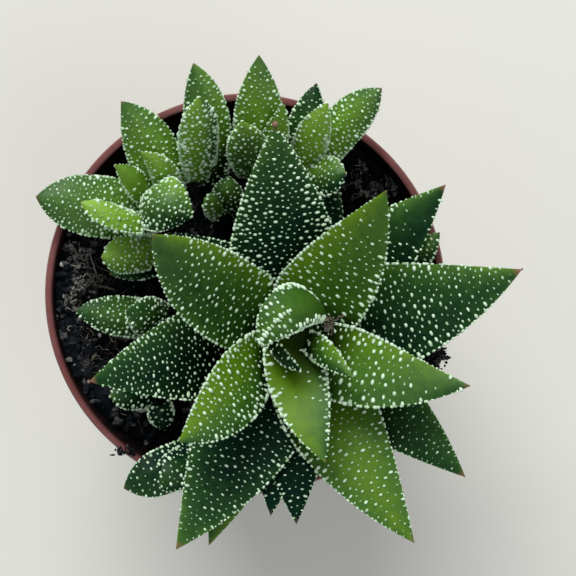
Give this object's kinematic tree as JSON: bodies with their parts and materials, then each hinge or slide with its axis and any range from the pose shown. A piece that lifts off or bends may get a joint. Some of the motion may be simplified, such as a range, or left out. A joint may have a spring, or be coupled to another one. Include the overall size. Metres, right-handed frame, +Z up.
{
  "type": "potted haworthia",
  "caption": "Zebra-type haworthia in a round brown-red nursery pot: one large rosette of white-beaded, pointed leaves with small offsets round it in dark potting soil.",
  "frame": {"origin": "middle of the pot's flat underside, on the pot's axis", "axes": "+Z up along the pot's axis; in the picture, taken from above, +X points right and +Y points to the top of the picture"},
  "size_m": [0.1058, 0.1068, 0.106],
  "materials": {
    "pot_plastic": "satin",
    "potting_soil": "matte",
    "mother_leaf": "satin",
    "offset_leaf": "satin",
    "tubercle_white": "satin",
    "dry_fibre": "matte",
    "perlite": "matte"
  },
  "bodies": {
    "root": {"pot": "pot_plastic", "soil": "potting_soil", "mother_rosette": "mother_leaf", "offset_west": "offset_leaf", "offset_north_west": "offset_leaf", "offset_inner": "offset_leaf", "offset_north": "offset_leaf", "offset_north_east": "offset_leaf", "offset_far_west": "offset_leaf", "offset_south_west": "offset_leaf", "offset_shaded": "offset_leaf", "offset_south": "offset_leaf", "offset_east": "offset_leaf"}
  },
  "joints": []
}
